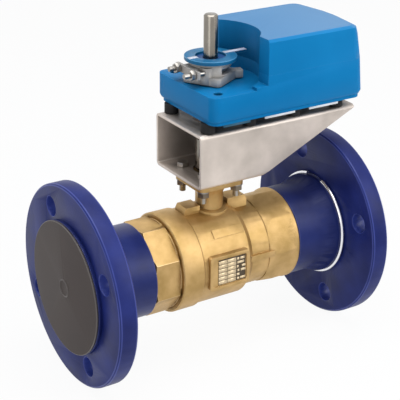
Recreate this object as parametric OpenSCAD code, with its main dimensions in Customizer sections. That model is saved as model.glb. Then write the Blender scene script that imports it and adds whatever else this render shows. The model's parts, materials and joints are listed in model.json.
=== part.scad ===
// A motorised ball valve for a flanged pipe line: a brass ball valve with screwed adaptors,
// loose flanges held by snap rings, and an electric actuator on a bracket above the stem.
// X runs along the pipe from the inlet bolting face, Y to the back, Z up the stem; millimetres.

/* [Loose flanges] */
// Outside diameter of each flange
flange_od = 185; // [180:1:200]
// Thickness of each flange
flange_t = 17.5; // [16:0.5:18]
// Diameter of the circle through the bolt holes
bolt_circle = 145; // [142:1:148]
// Diameter of one bolt hole
bolt_hole_d = 18; // [14:1:20]
// Number of bolt holes
bolt_count = 4; // [4, 8]
// Hole through the flange for the adaptor
flange_bore_d = 98.2; // [98:0.1:99]
// Bevel of the flange's outer edges
flange_bevel = 1.5; // [0.5:0.5:3]
// Turn of the inlet flange's first hole from the back towards the top, degrees
inlet_clock = 64.9; // [0:0.1:90]
// Turn of the outlet flange's first hole, degrees
outlet_clock = 70.9; // [0:0.1:90]
// Running gap between a flange and the pieces beside it
face_gap = 0.2; // [0.1:0.05:0.3]

/* [Adaptors and snap rings] */
// Distance from a bolting face to the brass
adaptor_reach = 65; // [60:1:70]
// Diameter of the collar in front of the flange
collar_d = 122; // [118:1:124]
// Thickness of that collar
collar_t = 3; // [2:0.5:4]
// Diameter of the hub that carries the flange
hub_d = 97; // [96.5:0.1:97.5]
// Distance from the bolting face to the end of the hub
hub_reach = 25; // [24.5:0.5:27]
// Distance from the bolting face to the end of the cone
cone_reach = 40.5; // [36:0.5:46]
// Diameter of the adaptor's barrel beside the brass
adaptor_d = 86; // [84:0.5:88]
// Bevel where the adaptor meets the brass
adaptor_bevel = 0.8; // [0.4:0.1:1.5]
// Bore of the adaptor
adaptor_bore_d = 65; // [60:1:66]
// Diameter of the screwed end
nipple_d = 75; // [74.5:0.1:75]
// Length of the screwed end
nipple_len = 22; // [18:1:22]
// Diameter of the snap ring's wire
wire_d = 4; // [3.5:0.1:4.2]
// Diameter through the middle of the snap ring's wire
ring_d = 98; // [97.5:0.1:98.5]
// Opening of the snap ring, degrees
ring_gap_angle = 26; // [15:1:40]
// Place of that opening from the front towards the top, degrees
ring_gap_clock = 87; // [0:1:180]
// Gap round the wire in its groove
groove_gap = 0.05; // [0.03:0.01:0.1]

/* [Caps] */
// Thickness of the cap's disc
cap_t = 2; // [1.5:0.25:3]
// Gap between the cap and the adaptor's collar
cap_gap = 0.2; // [0.1:0.05:0.3]
// Depth of the cap's spigot in the bore
cap_depth = 14; // [8:1:20]
// Wall of the spigot
cap_wall = 1.8; // [1.2:0.2:3]
// Gap round the spigot
cap_fit = 0.3; // [0.2:0.05:0.5]
// Outside diameter of the moulded ring in the cap's middle
cap_mark_d = 16; // [12:1:20]
// Width and height of that ring
cap_mark_t = 0.8; // [0.4:0.1:1.2]
// Bevel of the disc
cap_bevel = 0.5; // [0.3:0.1:0.8]

/* [Brass body] */
// Length of the brass between the adaptors
brass_len = 154; // [152:1:158]
// Distance of the stem past the middle of the brass
stem_shift = 2.5; // [0:0.5:4]
// Length of the octagonal end connector
connector_len = 25; // [24:0.5:26]
// Across the corners of the end connector
connector_d = 87.8; // [86:0.2:88]
// Turn of the end connector, degrees
connector_clock = 19.5; // [0:0.5:45]
// Diameter of the band beside the connector
band_d = 93.4; // [92:0.2:95]
// Length of the band
band_len = 21; // [19:0.5:23]
// Diameter of the barrel
barrel_d = 90.2; // [90:0.2:91]
// Distance from the stem to the end of the barrel
barrel_reach = 16.5; // [15:0.5:18]
// Distance from the stem to the start of the waist
waist_reach = 22.5; // [21:0.5:24]
// Diameter of the waist
waist_d = 81; // [80:0.5:82]
// Distance from the stem to the outlet octagon
octagon_reach = 41.5; // [40:0.5:43]
// Across the corners of the outlet octagon
octagon_d = 88.1; // [87:0.1:89]
// Rounding of that octagon's corners, as a diameter
octagon_turned_d = 87.6; // [87:0.1:88]
// Length over which its flats fade into the round rim at the outlet
octagon_fade = 15; // [10:1:18]
// Length of that rim
octagon_rim = 3; // [2:0.5:5]
// Length over which the octagon grows to its full size
octagon_grow = 10; // [6:1:14]
// Growth of the radius at the start of the octagon
octagon_step = 0.7; // [0.4:0.1:1]
// Bevel of the brass edges
brass_bevel = 1.2; // [0.6:0.2:2]
// Depth of the screwed sockets
socket_len = 23; // [22.5:0.5:24]
// Diameter of the screwed sockets
socket_d = 75.2; // [75.1:0.1:75.6]
// Bore for the end connector's spigot
spigot_bore_d = 84.1; // [84.1:0.1:84.3]
// Diameter of the end connector's spigot
spigot_d = 84; // [83.8:0.1:84]
// Distance from the stem to the spigot's end
spigot_reach = 26.5; // [26:0.5:27]

/* [Castings on the body] */
// Length of the pad on the front
pad_len = 42; // [36:1:44]
// Height of the pad
pad_h = 33; // [28:1:34]
// Distance from the pad's middle back to the stem
pad_shift = 7; // [4:0.5:8]
// Distance from the pipe axis to the pad's face
pad_face = 47.5; // [46.5:0.5:49]
// Width of the pad's raised rim
pad_rim = 3; // [2:0.5:5]
// Depth inside the rim
pad_sink = 0.8; // [0.4:0.1:1.2]
// Corner radius of the pad
pad_corner = 3; // [2:0.5:4]
// Width of the lugs beside the neck
lug_w = 16; // [12:1:18]
// Top of the lugs above the pipe axis
lug_top = 51; // [49:0.5:52]
// Outer end of the inlet lug from the stem
inlet_lug_far = 31.5; // [29:0.5:32]
// Inner end of the inlet lug
inlet_lug_near = 15; // [14:0.5:18]
// Inner end of the outlet lug
outlet_lug_near = 15; // [14:0.5:18]
// Outer end of the outlet lug
outlet_lug_far = 36; // [32:0.5:38]
// Slope at the lug's outer end, as a run
lug_slope = 4; // [2:0.5:6]
// Height of the part line rib on the waist
rib_h = 5.7; // [4:0.5:7]
// Lower edge of that rib from the pipe axis
rib_low = -0.8; // [-3:0.1:0]
// Distance from the pipe axis to the rib's face
rib_face = 43; // [42:0.5:43.5]
// Start of the rib from the stem
rib_start = 19.5; // [18:0.5:22]
// End of the rib from the stem
rib_end = 45.5; // [43:0.5:48]
// Height of the flat band above the barrel
flat_rise = 0.9; // [0.5:0.1:1.5]
// Spread of the flat band round the barrel, degrees
flat_angle = 10; // [6:1:16]
// Place of the flat band from the front towards the top, degrees
flat_clock = 44; // [35:1:55]
// Start of the flat band from the stem, towards the inlet
flat_start = 16.5; // [10:0.5:20]
// End of the flat band
flat_end = 15.5; // [10:0.5:16]

/* [Neck and top flange] */
// Diameter of the neck
neck_d = 25.6; // [25:0.2:28]
// Diameter of the bead where the neck meets the barrel
bead_d = 35; // [32:1:38]
// Height of the bead above the barrel
bead_rise = 2; // [1:0.5:3]
// Start of the cone under the top flange
neck_cone_z = 60; // [56:1:64]
// Diameter of the cone at the top flange
neck_cone_d = 35; // [32:1:36]
// Underside of the top flange above the pipe axis
top_flange_z = 70; // [69:0.5:71]
// Thickness of the top flange
top_flange_t = 9.5; // [9:0.5:10]
// Width of the square top flange
top_flange_w = 48; // [46:1:52]
// Corner radius of the top flange
top_flange_corner = 7; // [5:0.5:9]
// Diameter of the circle through the bracket screws
top_bolt_circle = 50; // [50, 49, 51]
// Hole for a bracket screw
top_hole_d = 6.6; // [6.4:0.1:7]

/* [Ball, seats and stem] */
// Diameter of the ball
ball_d = 76; // [75.6:0.1:76]
// Bore of the ball and the body
port_d = 50; // [44:1:50]
// Diameter of the cavity round the ball
cavity_d = 78; // [77.6:0.1:78]
// Width of the slot in the ball's top
slot_w = 8; // [8:0.1:8.4]
// Depth of the slot's floor above the pipe axis
slot_z = 33.5; // [33:0.1:33.8]
// Inner end of a seat from the stem
seat_near = 21; // [20.5:0.5:23]
// Outer end of a seat from the stem
seat_far = 33; // [32:0.5:33.5]
// Outside diameter of a seat
seat_d = 66.8; // [66:0.1:66.8]
// Diameter of the pocket for a seat
seat_pocket_d = 67; // [67:0.1:67.4]
// Bore of a seat
seat_bore_d = 51; // [50.6:0.1:52]
// Gap between the ball and a seat
seat_gap = 0.3; // [0.2:0.05:0.4]
// Wire diameter of the body seal
body_seal_d = 2; // [1.8:0.1:2]
// Distance from the stem to the body seal
body_seal_reach = 31; // [30.5:0.5:32]
// Diameter of the stem
stem_d = 18; // [17.8:0.1:18]
// Running gap round the stem, radial
stem_gap = 0.1; // [0.05:0.01:0.1]
// Diameter of the stem's foot
stem_foot_d = 24; // [23.6:0.2:24]
// Diameter of the pocket above the foot
foot_pocket_d = 25; // [24.8:0.1:25.2]
// Underside of the stem's foot
stem_foot_z = 38.4; // [38.3:0.1:38.6]
// Top of the stem's foot
stem_foot_top = 42; // [41.6:0.1:42]
// Top of the pocket above the foot
foot_pocket_top = 43.5; // [43.4:0.1:43.6]
// Bottom of the tang in the ball's slot
tang_z = 34; // [33.9:0.1:34.4]
// Thickness of the tang
tang_t = 7.7; // [7.5:0.1:7.7]
// Width of the tang
tang_w = 20; // [18:0.5:21]
// Bore of the thrust washer
washer_bore_d = 18.6; // [18.4:0.1:19]
// Wire diameter of the stem seals
stem_seal_d = 2.1; // [2:0.05:2.1]
// Heights of the stem seals above the pipe axis
stem_seal_z = [55, 62];
// Start of the stem's square above the pipe axis
square_z = 80; // [80:0.5:81]
// Top of the stem
stem_top = 92; // [90:0.5:93]
// Width of the stem's square
square_w = 11; // [10:0.5:11]

/* [Bracket and feet] */
// Thickness of the bracket's sheet
sheet_t = 2.5; // [2:0.5:3]
// Width of the bracket
bracket_w = 76; // [72:1:80]
// Underside of the actuator side of the bracket, above the pipe axis
bracket_top = 130; // [128:1:132]
// Open end of the bracket from the stem, towards the inlet
bracket_back = 33; // [30:0.5:36]
// End of the bracket's floor from the stem
bracket_floor_end = 30.5; // [29:0.5:40]
// Tip of the bracket from the stem
bracket_tip = 134; // [130:0.5:136]
// Outer bend radius of the bracket
bend_r = 4; // [3:0.5:6]
// Holes for the stem in the bracket
bracket_hole_d = 30; // [28:0.5:32]
// Height of a rubber foot
foot_h = 9.5; // [8:0.5:11]
// Diameter of a rubber foot
foot_d = 13; // [12:0.5:14]
// Spread of the feet from the middle
foot_y = 30.5; // [29:0.5:31]
// Feet along the actuator, from the stem
foot_s = [-21.5, 21.5, 69.5, 117.5];
// Hole down a foot
foot_hole_d = 5.6; // [5.4:0.1:6]
// Diameter of a mount screw
mount_screw_d = 5; // [4.8:0.1:5]
// Head diameter of a mount screw
mount_head_d = 9; // [8:0.5:9.5]
// Head height of a mount screw
mount_head_h = 2.5; // [2:0.5:3]

/* [Bracket screws] */
// Diameter of a bracket screw
bracket_screw_d = 6; // [5.8:0.1:6]
// Length of a bracket screw under its head
bracket_screw_len = 24.5; // [22:0.5:26]
// Across the flats of the head and the nut
bracket_flats = 10; // [9:0.5:10]
// Height of the head
bracket_head_h = 4; // [3:0.5:4.5]
// Height of the nut
bracket_nut_h = 5; // [4:0.5:5.5]
// Thickness of the washer
bracket_washer_t = 1.2; // [1:0.1:1.6]
// Diameter of the washer
bracket_washer_d = 12; // [11:0.5:12.5]

/* [Drive shaft and hub] */
// Diameter of the shaft
shaft_d = 12.6; // [12:0.1:12.6]
// Top of the shaft above the pipe axis
shaft_top = 225; // [215:1:235]
// Chamfer at the top of the shaft
shaft_tip = 1.2; // [0.8:0.2:2]
// Diameter of the coupling on the stem
coupling_d = 26; // [24:0.5:27]
// Underside of the coupling
coupling_z = 83; // [82.5:0.5:84]
// Top of the coupling
coupling_top = 112; // [105:1:116]
// Width of the coupling's square socket
socket_w = 11.2; // [11.1:0.1:11.4]
// Top of that socket
socket_top = 94; // [93.5:0.5:96]
// Height of the set screw
set_screw_z = 88; // [86:0.5:90]
// Diameter of the set screw
set_screw_d = 5; // [4:0.5:5]
// Underside of the hub
hub_z = 166.3; // [166.2:0.1:166.6]
// Top of the hub
hub_top = 185; // [183:0.5:187]
// Diameter of the hub's round body
drive_hub_d = 36.6; // [36:0.2:36.6]
// Top of the hub's square plate
hub_plate_top = 173.8; // [172.5:0.1:173.8]
// Across the corners of that plate
hub_plate_d = 52; // [48:1:54]
// Turn of the plate's first corner, degrees
hub_plate_clock = -15; // [-30:1:15]
// Rounding of the plate's corners
hub_plate_corner = 4; // [2:0.5:6]
// Reach of the stop arm
stop_arm_r = 29; // [27:0.5:32]
// Width of the stop arm
stop_arm_w = 8; // [6:0.5:10]
// Diameter of the boss on the hub
hub_boss_d = 12; // [9:0.5:13]
// Distance of that boss from the stem
hub_boss_reach = 15; // [13:0.5:16]
// Turn of that boss, degrees
hub_boss_clock = -135; // [-150:1:-120]
// Top of that boss
hub_boss_top = 182; // [181.5:0.5:183]

/* [Clamp] */
// Height of the clamp above the pipe axis
clamp_z = 177.5; // [177:0.5:178]
// Diameter of the clamp's rod
clamp_rod_d = 4.5; // [4:0.1:4.6]
// Distance of the clamp's legs from the middle
clamp_leg_y = 12.5; // [12.5:0.1:13]
// Reach of the legs from the stem
clamp_reach = 35; // [33:0.5:37]
// Gap round the clamp's rod
clamp_gap = 0.2; // [0.15:0.05:0.3]
// Outer face of the saddle from the stem
saddle_reach = 24.5; // [24:0.5:25]
// Thickness of the saddle's plate
saddle_t = 3; // [2:0.5:3.5]
// Length of the saddle
saddle_len = 36; // [34:0.5:38]
// Height of the saddle
saddle_h = 7; // [6:0.5:7]
// Width of the saddle's seat against the hub
saddle_seat_w = 16; // [10:1:18]
// Across the flats of a clamp nut
clamp_flats = 8; // [7:0.5:8]
// Height of a clamp nut
clamp_nut_h = 4.5; // [4:0.5:5]

/* [Position indicator] */
// Outside diameter of the indicator ring
indicator_d = 46.6; // [44:0.2:50]
// Bore of the indicator ring
indicator_bore_d = 27; // [26:0.5:28]
// Thickness of the indicator ring
indicator_t = 3.5; // [2.5:0.5:4]
// Reach of the pointer from the stem
pointer_reach = 36.7; // [32:0.1:38]
// Width of the pointer
pointer_w = 4; // [3:0.5:5]
// Thickness of the pointer
pointer_t = 2.5; // [2:0.5:3]

/* [Actuator housing] */
// Inlet end of the actuator from the stem
case_back = 27.5; // [27:0.5:30]
// Outlet end of the actuator from the stem
case_front = 142.5; // [142:0.5:146]
// Width of the actuator
case_w = 94; // [92:1:98]
// Thickness of the base plate
base_t = 3.5; // [3.5:0.1:3.6]
// Inset of the base plate from the case
base_inset = 2.5; // [2:0.5:4]
// Height of the bevel at the foot of the case
case_bevel_h = 3; // [2:0.5:4]
// Inset of that bevel
case_bevel = 1.5; // [1:0.5:2.5]
// Top of the low deck above the pipe axis
deck_z = 165.5; // [165.5:0.1:165.8]
// Thickness of the deck
deck_t = 2; // [1.8:0.1:2]
// Top of the ledge in front of the tall part
ledge_z = 168.2; // [167:0.1:169]
// Start of the ledge from the stem
ledge_start = 17.5; // [14:0.5:20]
// Flat end of the tall part from the stem
tall_start = 29.5; // [29:0.5:31]
// Joint between housing and cover
joint_z = 177; // [176.5:0.5:177.5]
// Top of the cover
cover_top = 208.5; // [207:0.5:212]
// Radius of the round recess about the stem
recess_r = 43.5; // [43:0.5:44]
// Wall of the case
case_wall = 3; // [2.5:0.5:3]
// Corner radius at the inlet end
case_corner_back = 8; // [6:0.5:10]
// Corner radius at the outlet end
case_corner_front = 11; // [9:0.5:13]
// Bow of the outlet end
case_bow = 4; // [2:0.5:5]
// Half width of the flat middle of that end
case_bow_y = 8; // [4:1:12]
// Lean of the outlet end at the joint
lean_joint = 3.2; // [2:0.2:4]
// Lean of the outlet end at the cover's shoulder
lean_shoulder = 7.5; // [6:0.5:9]
// Lean of the outlet end at the cover's edge
lean_edge = 9.5; // [8:0.5:11]
// Lean of the outlet end at the cover's top
lean_top = 14.5; // [12:0.5:16]
// Height of the cover's shoulder
shoulder_z = 200; // [196:1:202]
// Height of the cover's edge
edge_z = 206; // [204:0.5:206.5]
// Inset of the cover's top
top_inset = 2.5; // [1.5:0.5:4]
// Taper of the front, back and inlet sides at the cover's edge
case_taper = 0.6; // [0.2:0.2:1]

/* [Case fixings] */
// Inlet housing screws from the stem
deck_screw_s = -15.1; // [-16:0.1:-14]
// Outlet housing screws from the stem
rear_screw_s = 128; // [127:0.5:129]
// Spread of the housing screws
case_screw_y = 35.8; // [35:0.1:36.5]
// Diameter of a housing screw
case_screw_d = 4; // [3.5:0.1:4]
// Head diameter of a housing screw
case_head_d = 7; // [6.5:0.1:7.2]
// Head height of a housing screw
case_head_h = 2.6; // [2:0.2:3]
// Seat of the housing screws' heads above the pipe axis
case_seat_z = 160; // [158:0.5:161]
// Diameter of a screw boss
case_boss_d = 11; // [10:0.5:12]
// Recess over a screw head
case_recess_d = 8; // [7.8:0.1:8.4]
// Height of the cover screws
cover_screw_z = 172; // [171.5:0.5:172.5]
// Spread of the cover screws
cover_screw_y = 25; // [23:0.5:26]
// Length of a cover screw under its head
cover_screw_len = 9; // [8:0.5:10]
// Thickness of the cover's tab
tab_t = 5.5; // [5:0.5:6]
// Width of the cover's tab
tab_w = 10; // [9:0.5:12]
// How far the tabs stand behind the middle of the bowed front wall
tab_back = 3; // [2.8:0.1:4]
// Height of the tab below the joint
tab_drop = 10; // [9:0.5:11]
// Height of the tab above the joint
tab_rise = 14; // [12:0.5:16]
// Cable entry from the middle
gland_y = 15; // [14:0.5:16]
// Height of the cable entry
gland_z = 157.5; // [157:0.5:158]
// Diameter of the cable entry's thread
gland_d = 16; // [15:0.5:16]
// Diameter of the pad round the cable entry
gland_pad_d = 26; // [25:0.5:26.5]
// Outer face of that pad past the case
gland_pad_out = 1.3; // [1:0.1:2]
// Thickness of the wall at that pad
gland_pad_t = 8.8; // [8.7:0.1:9]
// Across the flats of the gland
gland_flats = 22; // [20:0.5:22]
// Thickness of the gland's hexagon
gland_hex_t = 5; // [4:0.5:6]
// Length of the gland's outer thread
gland_out = 9; // [8:0.5:10]
// Diameter of the gland's outer thread
gland_neck_d = 17; // [16:0.5:17]
// Bore of the gland
gland_bore_d = 10; // [8:0.5:11]
// Thickness of the locknut
locknut_t = 3; // [2.5:0.5:3.5]
// Length of the gland's nut
gland_nut_len = 14; // [13:0.5:15]
// Diameter of the gland nut's round end
gland_nose_d = 15; // [14:0.5:16]

/* [Gear train] */
// Pressure angle of the teeth, degrees
pressure_angle = 20; // [20, 22.5]
// Module of the output sector and its pinion
sector_tooth_size = 1.5; // [1.5]
// Module of the two wheels and their pinions
wheel_tooth_size = 1; // [1]
// Teeth of the output sector's full circle
sector_teeth = 42; // [42]
// First tooth of the output sector, counted from the motor's side
sector_first = -2; // [-3:1:0]
// Last tooth of the output sector
sector_last = 12; // [11:1:14]
// Teeth of every pinion
pinion_teeth = 15; // [15]
// Teeth of the two wheels
wheel_teeth = 45; // [45]
// Tooth height above the pitch circle, as a share of the module
addendum_share = 0.8; // [0.7:0.05:0.8]
// Tooth depth below the pitch circle, as a share of the module
dedendum_share = 1.0; // [1:0.05:1.1]
// Thinning of each tooth
flank_gap = 0.08; // [0.05:0.01:0.12]
// Bottom of the sector's teeth
sector_z = 144; // [143.8:0.1:144]
// Top of the sector's teeth
sector_top = 151; // [150:0.1:151]
// Diameter of the output sleeve
sleeve_d = 22; // [21.6:0.1:22]
// Bore of the output sleeve
sleeve_bore_d = 12.8; // [12.8:0.05:12.9]
// Bottom of the output sleeve
sleeve_z = 138.9; // [138.5:0.1:139.5]
// Top of the output sleeve
sleeve_top = 171.8; // [170:0.1:172]
// Outside diameter of the bushes
bush_d = 28; // [27:0.5:28]
// Height of the bushes
bush_h = 3.9; // [3.6:0.1:4]
// Diameter of the gear pins
pin_d = 5; // [4.5:0.1:5]
// Running gap round pins and sleeve, radial
pin_gap = 0.05; // [0.03:0.01:0.08]
// End play of the gears
end_play = 0.3; // [0.2:0.05:0.4]
// Bottom of the first wheel
wheel_one_z = 152; // [151.9:0.1:152.1]
// Thickness of the wheels
wheel_t = 4; // [3.6:0.1:4]
// Bottom of the second wheel
wheel_two_z = 157; // [156.9:0.1:157.1]
// Diameter of the gears' hubs
gear_hub_d = 10; // [9:0.5:10]
// Excess of a pinion's face over its wheel, each side
pinion_extra = 0.4; // [0.3:0.1:0.4]
// Lightening holes in each wheel
wheel_holes = 5; // [4, 5, 6]
// Diameter of a lightening hole
wheel_hole_d = 7; // [5:0.5:8]
// Distance of a lightening hole from the pin
wheel_hole_reach = 13.5; // [13:0.5:14]

/* [Gear plate, motor and electrics] */
// Underside of the gear plate
plate_z = 161.8; // [161.8:0.05:161.9]
// Thickness of the gear plate
plate_t = 1.5; // [1.4:0.05:1.5]
// Start of the gear plate from the stem
plate_start = 34; // [33:0.5:35]
// End of the gear plate from the stem
plate_end = 121; // [120:0.5:121]
// Half width of the gear plate
plate_y = 32.5; // [32:0.5:33]
// Corner radius of the gear plate
plate_corner = 4; // [3:0.5:5]
// Posts of the gear plate from the stem
post_s = [38, 110];
// Spread of the posts
post_y = 28; // [27.5:0.5:28.5]
// Diameter of a post
post_d = 7; // [6:0.5:7]
// Diameter of a post's stud
stud_d = 3.8; // [3:0.2:4]
// Diameter of the motor
motor_d = 36; // [32:0.5:36]
// Height of the motor
motor_h = 34; // [30:1:38]
// Diameter of the motor's nose
motor_nose_d = 10; // [8:0.5:10]
// Diameter of the motor's shaft
motor_shaft_d = 3; // [2.5:0.1:3.2]
// Length of the shaft inside the motor
motor_shaft_in = 22; // [18:1:26]
// Start of the circuit board from the stem
board_start = 50; // [49.5:0.5:52]
// End of the circuit board
board_end = 82; // [80:0.5:83]
// Half width of the circuit board
board_y = 36; // [34:0.5:38]
// Thickness of the circuit board
board_t = 1.6; // [1.2:0.2:1.6]
// Underside of the circuit board
board_z = 174; // [172:0.5:174]
// Board posts from the stem
board_post_s = [54, 78];
// Diameter of a board post
board_post_d = 5; // [4:0.5:6]
// Relay on the board: length, width and height
relay_size = [12, 20, 15];
// Terminal block: length, width and height
terminal_size = [12, 26, 15];
// Start of the terminal block from the stem
terminal_start = 122.5; // [122:0.5:123]
// Middle of the terminal block
terminal_y = -15; // [-15.5:0.5:-14.5]
// Ways of the terminal block
terminal_ways = 5; // [4, 5]
// Diameter of a wire entry
terminal_hole_d = 3; // [2.5:0.5:3.5]

/* [Hidden] */
$fn = 64;
hull_sides = 32;
over = 1;
flank_steps = 4;
skin = 0.01;
fit_gap = 0.02;
screw_gap = 0.3;
groove_share = 0.6;

stem_x = adaptor_reach + brass_len / 2 + stem_shift;
outlet_face_x = 2 * adaptor_reach + brass_len;
inlet_end = -(brass_len / 2 + stem_shift);
outlet_end = brass_len / 2 - stem_shift;
body_start = inlet_end + connector_len;
band_end = body_start + band_len;
collar_out = face_gap + collar_t;
cap_in = collar_out + cap_gap;
ring_x = flange_t + face_gap + wire_d / 2;
cap_spigot_r = adaptor_bore_d / 2 - cap_fit;
top_flange_top = top_flange_z + top_flange_t;
top_bolt_at = top_bolt_circle / 2 * cos(45);
floor_top = top_flange_top + sheet_t;
base_z = bracket_top + foot_h;
base_top = base_z + base_t;
deck_under = deck_z - deck_t;
gear_one_s = sector_tooth_size * (sector_teeth + pinion_teeth) / 2;
gear_step = wheel_tooth_size * (wheel_teeth + pinion_teeth) / 2;
gear_two_s = gear_one_s + gear_step;
motor_s = gear_two_s + gear_step;
plate_top = plate_z + plate_t;
wheel_one_top = wheel_one_z + wheel_t;
wheel_two_top = wheel_two_z + wheel_t;
gland_face = case_front + gland_pad_out;
gland_inner = gland_face - gland_pad_t;
cover_head_s = case_front - lean_joint - case_bow / 4;
tab_out = case_front - lean_joint - case_wall - tab_back - screw_gap;
saddle_in = saddle_reach - saddle_t;
clamp_slot_r = clamp_rod_d / 2 + 2 * clamp_gap;

// Frames and plain shapes
module at_stem() translate([stem_x, 0, 0]) children();
module at_outlet() translate([outlet_face_x, 0, 0]) mirror([1, 0, 0]) children();
module along_x() rotate([0, 90, 0]) children();
module x_turn(outline) along_x() rotate_extrude() polygon([for (p = outline) [p[1], p[0]]]);
module z_turn(outline) rotate_extrude() polygon([for (p = outline) [p[0], p[1]]]);
module x_rod(r, from, to) translate([from, 0, 0]) along_x() cylinder(r = r, h = to - from);
module z_rod(r, from, to) translate([0, 0, from]) cylinder(r = r, h = to - from);
module x_ring(x, ring_r, wire_r) translate([x, 0, 0]) along_x()
    rotate_extrude() translate([ring_r, 0]) circle(r = wire_r);
module slab(x0, x1, half, z0, z1) translate([x0, -half, z0]) cube([x1 - x0, 2 * half, z1 - z0]);
module hex(flats, h) cylinder(d = flats / cos(30), h = h, $fn = 6);
module round_square(w, d, r) {
    square([w - 2 * r, d], center = true);
    square([w, d - 2 * r], center = true);
    for (x = [-1, 1], y = [-1, 1]) translate([x * (w / 2 - r), y * (d / 2 - r)]) circle(r = r);
}
module four(at_x, at_y) for (x = [-1, 1], y = [-1, 1]) translate([x * at_x, y * at_y, 0]) children();

// Loose flanges, each turning freely on its adaptor
module flange(clock) difference() {
    r = flange_od / 2;
    bore = flange_bore_d / 2;
    x_turn([[0, bore], [flange_t, bore], [flange_t, r - flange_bevel], [flange_t - flange_bevel, r],
        [flange_bevel, r], [0, r - flange_bevel]]);
    for (i = [0:bolt_count - 1]) rotate([clock + i * 360 / bolt_count, 0, 0])
        translate([0, bolt_circle / 2, 0]) x_rod(bolt_hole_d / 2, -over, flange_t + over);
}
module inlet_flange() color("royalblue") flange(inlet_clock);
module outlet_flange() color("royalblue") at_outlet() flange(outlet_clock);

// Adaptors from the brass to the flanges
module adaptor() difference() {
    end = adaptor_reach + nipple_len;
    bore = adaptor_bore_d / 2;
    r = adaptor_d / 2;
    x_turn([[-collar_out, bore], [-collar_out, collar_d / 2], [-face_gap, collar_d / 2],
        [-face_gap, hub_d / 2], [hub_reach, hub_d / 2], [cone_reach, r],
        [adaptor_reach - adaptor_bevel, r], [adaptor_reach, r - adaptor_bevel],
        [adaptor_reach, nipple_d / 2], [end, nipple_d / 2], [end, bore]]);
    x_ring(ring_x, ring_d / 2, wire_d / 2 + groove_gap);
}
module inlet_adaptor() color("royalblue") adaptor();
module outlet_adaptor() color("royalblue") at_outlet() adaptor();

// Snap rings behind the flanges
module snap_ring() translate([ring_x, 0, 0]) along_x()
    rotate([0, 0, 270 - ring_gap_clock + ring_gap_angle / 2])
    rotate_extrude(angle = 360 - ring_gap_angle) translate([ring_d / 2, 0]) circle(d = wire_d);
module inlet_snap_ring() color("silver") snap_ring();
module outlet_snap_ring() color("silver") at_outlet() snap_ring();

// Caps pushed into the bores
module cap() {
    out = cap_in + cap_t;
    r = collar_d / 2;
    mark = cap_mark_d / 2;
    x_turn([[-out, 0], [-out, mark - cap_mark_t], [-out - cap_mark_t, mark - cap_mark_t],
        [-out - cap_mark_t, mark], [-out, mark], [-out, r - cap_bevel], [-out + cap_bevel, r],
        [-cap_in - cap_bevel, r], [-cap_in, r - cap_bevel], [-cap_in, cap_spigot_r],
        [cap_depth, cap_spigot_r], [cap_depth, cap_spigot_r - cap_wall],
        [-cap_in, cap_spigot_r - cap_wall], [-cap_in, 0]]);
}
module inlet_cap() color("dimgray") cap();
module outlet_cap() color("dimgray") at_outlet() cap();

// Forged brass body
module octagon(across, from, to) translate([from, 0, 0]) along_x()
    cylinder(d = across, h = to - from, $fn = 8);
module body_turned() x_turn([[body_start, 0], [body_start, band_d / 2 - brass_bevel],
    [body_start + brass_bevel, band_d / 2], [band_end, band_d / 2],
    [band_end + (band_d - barrel_d) / 2, barrel_d / 2], [barrel_reach, barrel_d / 2],
    [waist_reach, waist_d / 2], [octagon_reach + over, waist_d / 2], [octagon_reach + over, 0]]);
module body_octagon() {
    rim = octagon_turned_d / 2;
    intersection() {
        octagon(octagon_d, octagon_reach, outlet_end);
        x_turn([[octagon_reach, 0], [octagon_reach, waist_d / 2 + octagon_step],
            [octagon_reach + octagon_grow, rim], [outlet_end - brass_bevel, rim],
            [outlet_end, rim - 2 * brass_bevel], [outlet_end, 0]]);
    }
    x_turn([[outlet_end - octagon_fade, 0], [outlet_end - octagon_fade, waist_d / 2 - brass_bevel],
        [outlet_end - octagon_rim, rim], [outlet_end - brass_bevel, rim],
        [outlet_end, rim - 2 * brass_bevel], [outlet_end, 0]]);
}
module neck() {
    z_turn([[0, barrel_d / 4], [neck_d / 2, barrel_d / 4], [neck_d / 2, neck_cone_z],
        [neck_cone_d / 2, top_flange_z], [neck_cone_d / 2, top_flange_z + over], [0, top_flange_z + over]]);
    intersection() {
        z_rod(bead_d / 2, 0, top_flange_z);
        x_rod(barrel_d / 2 + bead_rise, -bead_d, bead_d);
    }
    translate([0, 0, top_flange_z]) linear_extrude(top_flange_t)
        round_square(top_flange_w, top_flange_w, top_flange_corner);
}
module lug(near, far) rotate([90, 0, 0]) linear_extrude(lug_w, center = true)
    polygon([[near, barrel_d / 3], [far, barrel_d / 3], [far, lug_top - lug_slope],
        [far - lug_slope / 2, lug_top], [near, lug_top]]);
module front_pad() translate([-pad_shift, -barrel_d / 3, 0]) rotate([90, 0, 0]) difference() {
    linear_extrude(pad_face - barrel_d / 3) round_square(pad_len, pad_h, pad_corner);
    translate([0, 0, pad_face - barrel_d / 3 - pad_sink]) linear_extrude(over)
        round_square(pad_len - 2 * pad_rim, pad_h - 2 * pad_rim, pad_corner);
}
module flat_band() for (side = [0, 1]) mirror([0, side, 0]) translate([-flat_start, 0, 0]) along_x()
    rotate([0, 0, 270 - flat_clock - flat_angle / 2]) rotate_extrude(angle = flat_angle)
    translate([waist_d / 2, 0]) square([barrel_d / 2 + flat_rise - waist_d / 2, flat_start + flat_end]);
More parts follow.
